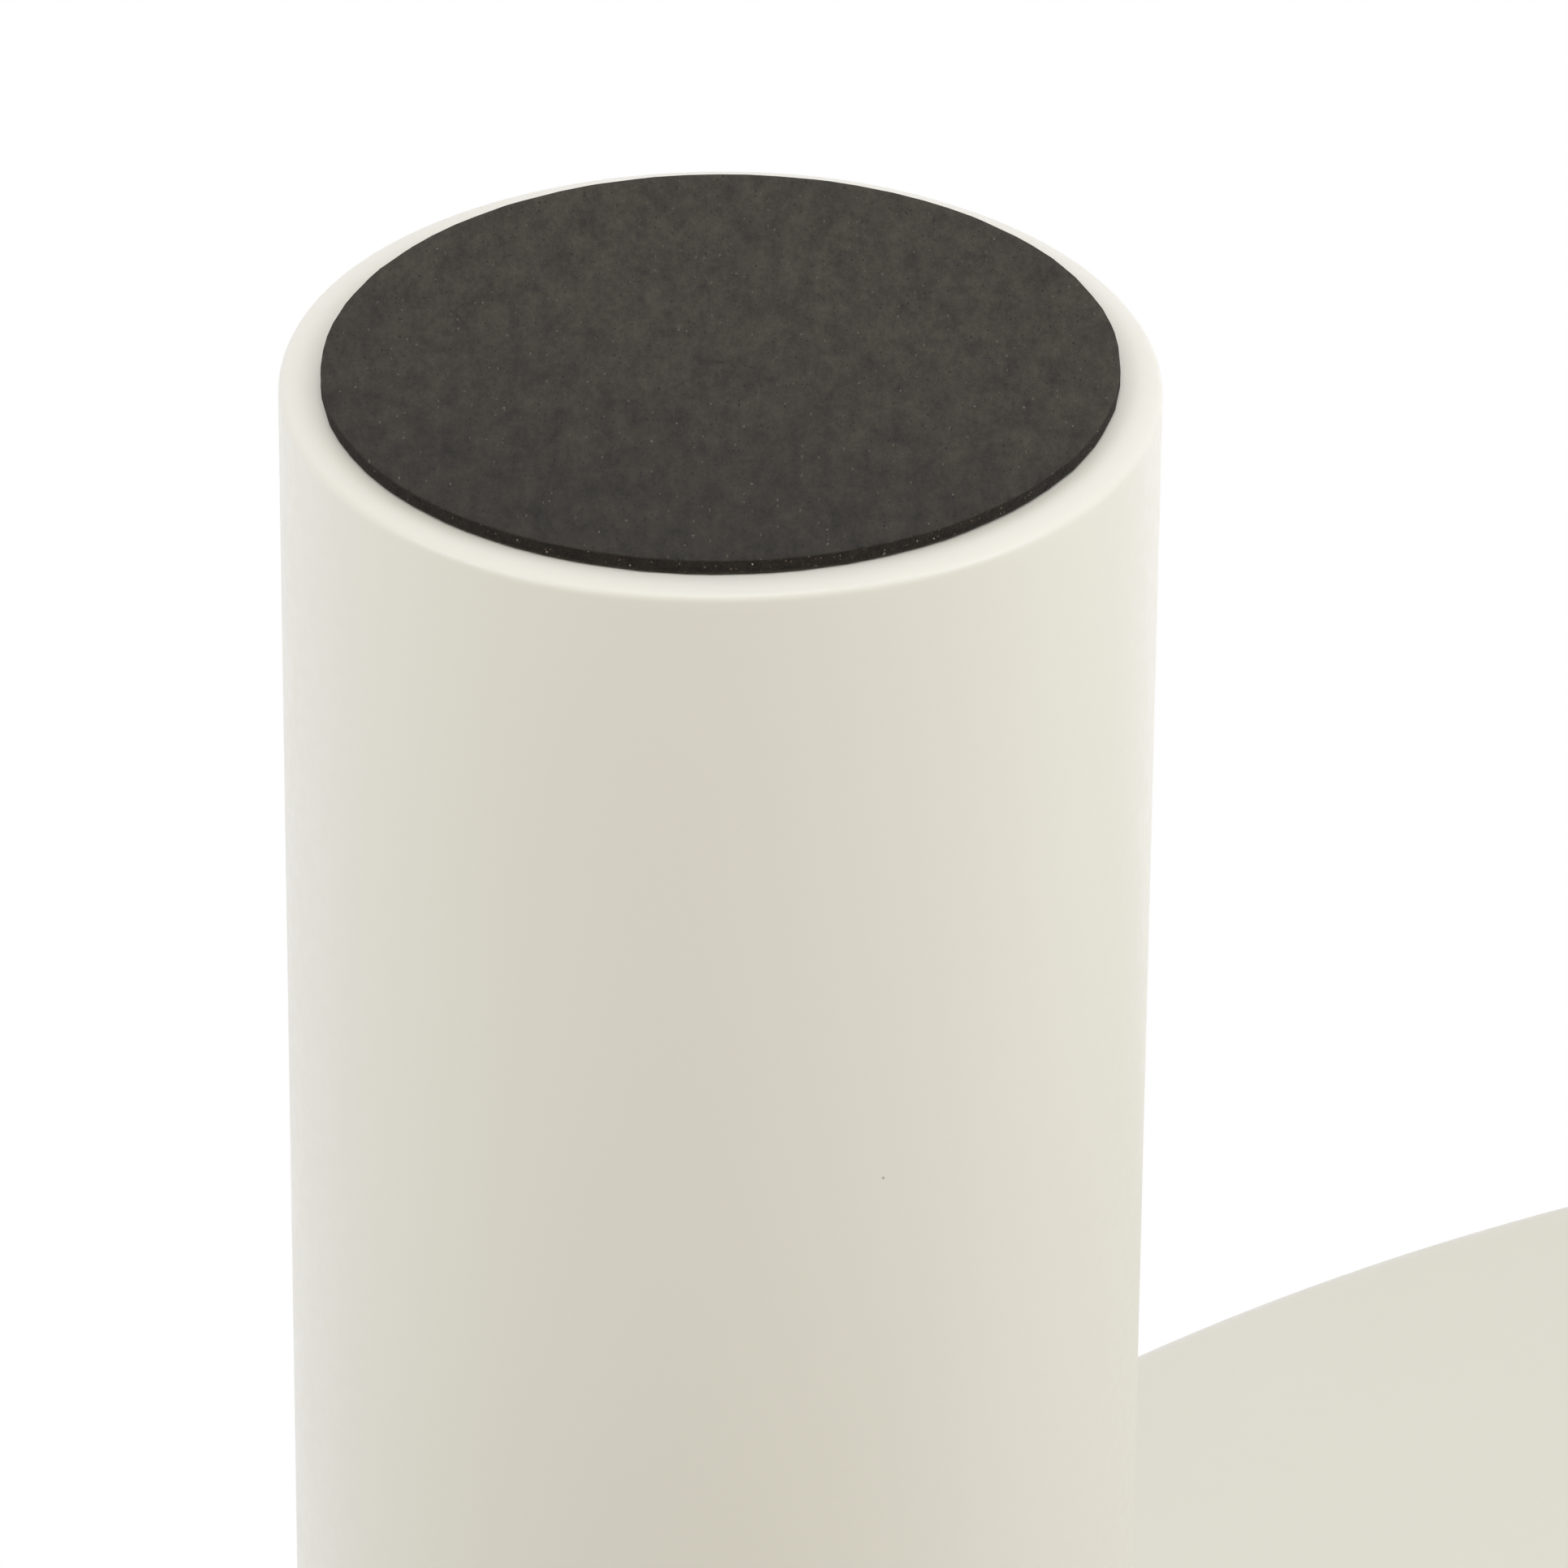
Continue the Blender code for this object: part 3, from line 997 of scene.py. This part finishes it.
@dataclass
class FoamPad:
    """A foam disc cut out by hand and glued over a foot, not quite in the middle."""

    leg: Leg
    slip: tuple[float, float] = (0.0, 0.0)
    oversize: float = 0.12 * MM
    turn: float = 0.0
    lobes: tuple[tuple[int, float, float], ...] = (
        (2, 0.50 * MM, -72.0),
        (3, 0.066 * MM, 57.0),
        (4, 0.041 * MM, 35.0),
    )
    # The heading, in degrees, towards which the face is painted paler as painted light.
    painted_light_towards: float = 76.0
    crumbs_towards: float = 190.0
    cuts: int = 84
    cut_shift: float = 0.35
    cut_scatter: float = 0.035 * MM
    edge_round: float = 0.22 * MM
    side_rough: float = 0.035 * MM
    face_rough: float = 0.03 * MM
    face_waves: range = range(3, 40)
    back_width: float = 2 * MM
    sides: int = 900
    face_rows: int = 36
    side_rows: int = 9
    glue_inset: float = 0.35 * MM
    glue_clearance: float = 0.02 * MM

    CORNER_STEPS = 4
    EDGE_SEED = 10
    SIDE_SEED = 40
    FACE_SEEDS = 1000

    @property
    def seed(self) -> int:
        """A number of its own for each leg's random draws."""
        return self.EDGE_SEED + list(Leg).index(self.leg)

    def outline(self, radius: float) -> np.ndarray:
        """The cut edge's radius round the pad: straight strokes of the knife between uneven points.

        A stroke from P to Q meets the ray at angle a at the distance (P cross Q - P) / (ray cross Q - P).
        Each lobe (n, reach, heading) then adds reach times the cosine of n times the angle from its
        heading.

        Args:
            radius: the pad's nominal radius.

        Returns:
            The radius at each of the ring's angles.
        """
        random = np.random.default_rng(self.seed)
        step = 2 * np.pi / self.cuts
        turns = (np.arange(self.cuts) + random.uniform(-self.cut_shift, self.cut_shift, self.cuts)) * step
        reach = radius + self.oversize + random.normal(0, self.cut_scatter, self.cuts)
        points = np.stack([reach * np.cos(turns), reach * np.sin(turns)], axis=1)
        angles = ring_angles(self.sides)
        start = (np.searchsorted(turns, angles, side="right") - 1) % self.cuts
        first = points[start]
        stroke = points[(start + 1) % self.cuts] - first
        ray = np.stack([np.cos(angles), np.sin(angles)], axis=1)
        distance = cross(first, stroke) / cross(ray, stroke)
        for waves, lobe, heading in self.lobes:
            distance += lobe * np.cos(waves * (angles - math.radians(heading + self.turn)))
        return distance

    def build(self) -> None:
        """Makes the foam disc and the glue behind it."""
        low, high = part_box(f"foot_pad_{self.leg.value}")
        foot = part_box(f"leg_tube_{self.leg.value}")[0].z
        centre = (low + high) / 2
        place = np.array([centre.x + self.slip[0], centre.y + self.slip[1], 0.0])
        edge = self.outline((high.x - low.x) / 2)
        disc = build_shell(f"foam_pad_{self.leg.value}", self.disc(edge, low.z, high.z) + place)
        middle = (centre.x, centre.y)
        # Headings of the face's painted light and of the side's crumbs, turned with the leg.
        painted_light_heading, crumbs = self.painted_light_towards + self.turn, self.crumbs_towards + self.turn
        face = FoamSheet(f"foam_face_{self.leg.value}", "foam", middle=middle, painted_light_towards=painted_light_heading)
        side = FoamCut(f"foam_cut_{self.leg.value}", "foam", middle=middle, crumbs_towards=crumbs)
        settle(disc, face, f"foot_pad_{self.leg.value}")
        self.dress_side(disc, side)
        glue_low, glue_high = high.z + self.glue_clearance, foot - self.glue_clearance
        rings = np.stack([scaled_ring(edge - self.glue_inset, z) for z in (glue_low, glue_high)])
        settle(build_shell(f"pad_glue_{self.leg.value}", rings + place), PAD_GLUE)

    def dress_side(self, disc: bpy.types.Object, finish: Finish) -> None:
        """Gives the knife-cut side, from the face's corner to the glued face, its own finish.

        Args:
            disc: the foam disc, with the face's finish in its first slot.
            finish: the finish of the cut side.
        """
        disc.data.materials.append(finish.material())
        faces = np.zeros(len(disc.data.polygons), dtype=np.int32)
        start, end = self.side_start * self.sides, (self.side_start + self.side_rows) * self.sides
        faces[start:end] = 1
        disc.data.polygons.foreach_set("material_index", faces)

    @property
    def side_start(self) -> int:
        """The first ring of the cut side, after the face and the corner."""
        return self.face_rows + self.CORNER_STEPS - 1

    def disc(self, edge: np.ndarray, low: float, high: float) -> np.ndarray:
        """The disc's rings: out along the floor's face, round the cut edge and in along the glued face.

        Each ring is the outline drawn in by some distance. The face's rings are lifted by smooth noise that
        fades out at the edge, and the side's rings are pushed in by rough noise.

        Args:
            edge: the cut edge's radius at each angle.
            low: the height of the face on the floor.
            high: the height of the glued face.

        Returns:
            Points of shape (rows, sides, 3), about the Z axis.
        """
        soft = self.edge_round
        inward = 1 - np.arange(self.face_rows) / self.face_rows
        random = np.random.default_rng(self.seed + self.SIDE_SEED)
        rings = []
        for share in inward:
            radius = (edge - soft) * (1 - share)
            noise = ring_noise(self.sides, self.face_waves, int(self.FACE_SEEDS * share))
            lift = self.face_rough * share_bump(share) * (1 + noise)
            rings.append(scaled_ring(radius, low + np.abs(lift) / NOISE_PEAK))
        corner = arc((-soft, low + soft), soft, -90, 0, self.CORNER_STEPS)
        rings += [scaled_ring(edge + step, z) for step, z in corner]
        for z in line((low + soft, 0.0), (high, 0.0), self.side_rows)[1:, 0]:
            rough = random.normal(0, self.side_rough, self.sides)
            rings.append(scaled_ring(edge - np.abs(rough), z))
        rings.append(scaled_ring(edge, high))
        rings.append(scaled_ring(edge - self.back_width, high))
        return np.stack(rings)


def cross(first: np.ndarray, second: np.ndarray) -> np.ndarray:
    """The cross product of rows of plane vectors: x1 y2 - y1 x2."""
    return first[:, 0] * second[:, 1] - first[:, 1] * second[:, 0]


def share_bump(share: float, fall: float = 0.06) -> float:
    """1 over most of a face and 0 at its edge, where the share is 0, with a smooth fall between."""
    rise = min(share / fall, 1.0)
    return rise * rise * (3 - 2 * rise)


def scaled_ring(radius: np.ndarray, height: float | np.ndarray) -> np.ndarray:
    """A ring about the Z axis whose radius changes with the angle: (r cos a, r sin a, z).

    Args:
        radius: the radius at each of the ring's angles.
        height: one height for the whole ring, or one for each point.

    Returns:
        An array of shape (sides, 3).
    """
    angle = ring_angles(len(radius))
    level = np.broadcast_to(height, radius.shape)
    return np.stack([radius * np.cos(angle), radius * np.sin(angle), level], axis=1)


@dataclass
class Hardware:
    """The pieces hidden in one leg's joint and foot, which keep their CAD shapes."""

    leg: Leg

    def build(self) -> None:
        """Gives each CAD node its finish."""
        finishes = {
            "foot_plug": RAW_BOARD,
            "head_plug": RAW_BOARD,
            "leg_insert": CAST_ZINC,
            "top_insert": CAST_ZINC,
            "leg_stud": PLATED_STEEL,
        }
        for kind, finish in finishes.items():
            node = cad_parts[f"{kind}_{self.leg.value}"]
            finish.dress(node)
            LOG.info("%s: CAD shape, %s", node.name, finish.name)


# ---------------------------------------------------------------------------------------------
# The studio
# ---------------------------------------------------------------------------------------------


@dataclass(frozen=True)
class FootSet:
    """The set round one foot, as if the table lay on its top: X runs to its middle, Z out of the foot."""

    leg: Leg = Leg.FRONT_RIGHT
    swing: float = 0.21

    def axes(self) -> Matrix:
        """The set's axes in the table's own frame: turned over, swung round and moved to the foot.

        Returns:
            The matrix from the set's frame to the table's.
        """
        foot = sum(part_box(f"foot_pad_{self.leg.value}"), Vector()) / 2
        inward = math.atan2(-foot.y, -foot.x) + math.radians(self.swing)
        moved = Matrix.Translation((foot.x, foot.y, 0.0))
        return moved @ Matrix.Rotation(inward, 4, "Z") @ Matrix.Rotation(math.pi, 4, "X")


@dataclass(frozen=True)
class FootCamera:
    """A long lens that looks down on the foot from the front of its set."""

    stand_off: float = 1.4628
    height: float = 0.8092
    heading: float = 0.354
    dip: float = 30.923
    tilt: float = 0.458
    lens: float = 283.1

    def build(self, foot_set: FootSet) -> None:
        """Makes the camera and makes it the scene's own.

        Args:
            foot_set: the set that it stands in.
        """
        stand = Matrix.Translation((0.0, -self.stand_off, self.height))
        aim = (Matrix.Rotation(math.radians(-self.heading), 4, "Z")
               @ Matrix.Rotation(math.radians(90 - self.dip), 4, "X")
               @ Matrix.Rotation(math.radians(self.tilt), 4, "Z"))
        data = bpy.data.cameras.new("foot_camera")
        data.lens = self.lens
        camera = bpy.data.objects.new("foot_camera", data)
        camera.matrix_world = foot_set.axes() @ stand @ aim
        bpy.context.scene.collection.objects.link(camera)
        bpy.context.scene.camera = camera


@dataclass(frozen=True)
class Glow:
    """A broad patch of light in the surroundings, strongest in one direction of the set."""

    towards: tuple[float, float, float]
    color: Color
    focus: float = 1.0


@dataclass(frozen=True)
class SoftLamp:
    """A round soft lamp: where it stands in the set, what it gives in watts and its tint."""

    name: str
    place: tuple[float, float, float]
    power: float
    color: Color
    size: float = 0.6
    aim: tuple[float, float, float] = (0.0, 0.0, -0.08)

    def build(self, foot_set: FootSet) -> None:
        """Makes the lamp, aimed a little way down the leg and unseen by the camera.

        Args:
            foot_set: the set that it stands in.
        """
        light = bpy.data.lights.new(self.name, "AREA")
        light.shape = "DISK"
        light.size = self.size
        light.energy = self.power
        light.color = self.color
        lamp = bpy.data.objects.new(self.name, light)
        place, aim = foot_set.axes() @ Vector(self.place), foot_set.axes() @ Vector(self.aim)
        facing = (aim - place).to_track_quat("-Z", "Y").to_matrix().to_4x4()
        lamp.matrix_world = Matrix.Translation(place) @ facing
        lamp.visible_camera = False
        bpy.context.scene.collection.objects.link(lamp)


@dataclass
class Studio:
    """White surroundings with broad glows, four soft lamps, and a floor that is seen only from above."""

    foot_set: FootSet
    floor_radius: float = 9.0
    floor_fade: float = 1.2
    floor_drop: float = 0.05 * MM
    floor_color: Color = (0.80, 0.80, 0.79)
    floor_paler: float = 1.01
    floor_sides: int = 96
    base: Color = (0.347, 0.331, 0.277)
    glows: tuple[Glow, ...] = (
        Glow((0.0, 0.0, -1.0), (0.553, 0.565, 0.590)),
        Glow((1.0, 0.0, 0.0), (0.735, 0.749, 0.771)),
        Glow((-1.0, 0.0, 0.0), (0.349, 0.366, 0.391)),
        Glow((0.0, 1.0, 0.0), (0.359, 0.379, 0.465)),
        Glow((0.0, 1.0, 0.0), (0.371, 0.374, 0.409), focus=6.0),
    )
    lamps: tuple[SoftLamp, ...] = (
        SoftLamp("lamp_left", (-0.8, -0.3, 0.6), 3.79, (0.799, 0.847, 1.000)),
        SoftLamp("lamp_right", (0.9, -0.3, 0.6), 4.33, (0.744, 0.813, 1.000)),
        SoftLamp("lamp_front", (0.0, -0.9, 0.9), 2.36, (1.000, 0.894, 0.792)),
        SoftLamp("lamp_top", (0.0, -0.1, 1.1), 1.75, (0.949, 0.983, 1.000)),
    )

    def build(self) -> None:
        """Makes the surroundings, the lamps and the floor."""
        bpy.context.scene.view_settings.view_transform = "Standard"
        self.surround()
        for lamp in self.lamps:
            lamp.build(self.foot_set)
        self.floor()

    def surround(self) -> None:
        """White to the eye, and glowing as light.

        The light is the base plus each glow's colour times its cosine to the power of its focus.
        """
        world = bpy.data.worlds.new("white_studio")
        bpy.context.scene.world = world
        world.use_nodes = True
        sheet = NodeSheet(world.node_tree)
        way = sheet.add("TexCoord").outputs["Generated"]
        total = sheet.add("RGB").outputs[0]
        total.default_value = (*self.base, 1.0)
        turn = self.foot_set.axes().to_3x3()
        for glow in self.glows:
            aim = tuple(turn @ Vector(glow.towards))
            cosine = sheet.add("VectorMath", {0: way, 1: aim}, operation="DOT_PRODUCT").outputs["Value"]
            bright = sheet.math("POWER", sheet.math("MAXIMUM", cosine), glow.focus)
            patch = sheet.add("VectorMath", {0: glow.color, 3: bright}, operation="SCALE").outputs["Vector"]
            total = sheet.add("VectorMath", {0: total, 1: patch}, operation="ADD").outputs["Vector"]
        light = sheet.add("Background", {"Color": total})
        seen = sheet.add("Background", {"Color": (1.0, 1.0, 1.0, 1.0)})
        eye = sheet.add("LightPath").outputs["Is Camera Ray"]
        both = sheet.add("MixShader", {0: eye, 1: light.outputs[0], 2: seen.outputs[0]})
        sheet.add("OutputWorld", {"Surface": both.outputs[0]})

    def floor(self) -> None:
        """Adds a pale disc that only the camera sees, and only from above, so that it hides no light.

        It thins out to nothing towards its edge, so that it has no visible horizon.
        """
        mesh = bpy.data.meshes.new("floor")
        ring = scaled_ring(np.full(self.floor_sides, self.floor_radius), -self.floor_drop)
        mesh.from_pydata(ring.tolist(), [], [list(range(len(ring)))])
        disc = bpy.data.objects.new("floor", mesh)
        bpy.context.scene.collection.objects.link(disc)
        for rays in ("diffuse", "glossy", "transmission", "volume_scatter", "shadow"):
            setattr(disc, f"visible_{rays}", False)
        material = bpy.data.materials.new("pale_floor")
        material.use_nodes = True
        sheet = NodeSheet(material.node_tree)
        place = sheet.add("TexCoord").outputs["Object"]
        grain = Grain.place(
            sheet, Place=place, Grains_per_metre=60.0, Clouds_per_metre=3.0, Cloud_share=0.5
        )
        paler = tuple(self.floor_paler * value for value in self.floor_color)
        color = sheet.mix(grain.outputs["Mask"], self.floor_color, paler)
        above = sheet.add("BsdfPrincipled", {"Base Color": color, "Roughness": 0.7})
        below = sheet.add("BsdfTransparent")
        away = sheet.add("VectorMath", {0: place}, operation="LENGTH").outputs["Value"]
        thin = sheet.spread(away, self.floor_fade, self.floor_radius)
        clear = sheet.math("MAXIMUM", thin, sheet.add("NewGeometry").outputs["Backfacing"])
        both = sheet.add("MixShader", {0: clear, 1: above.outputs[0], 2: below.outputs[0]})
        sheet.add("OutputMaterial", {"Surface": both.outputs[0]})
        mesh.materials.append(material)


def main() -> None:
    """Builds the view, the table and the studio, in that order."""
    logging.basicConfig(level=logging.INFO, format="%(name)s %(message)s")
    foot_set = FootSet()
    FootCamera().build(foot_set)
    RoundTop().build()
    slips = {
        Leg.BACK: (0.5 * MM, -0.3 * MM),
        Leg.FRONT_LEFT: (-0.4 * MM, 0.7 * MM),
        Leg.FRONT_RIGHT: (-0.43 * MM, -0.73 * MM),
    }
    turns = {Leg.BACK: 140.0, Leg.FRONT_LEFT: 255.0, Leg.FRONT_RIGHT: 0.0}
    for leg in Leg:
        HollowLeg(leg, turn=turns[leg]).build()
        FoamPad(leg, slip=slips[leg], turn=turns[leg]).build()
        Hardware(leg).build()
    Studio(foot_set).build()


if __name__ == "__main__":
    main()
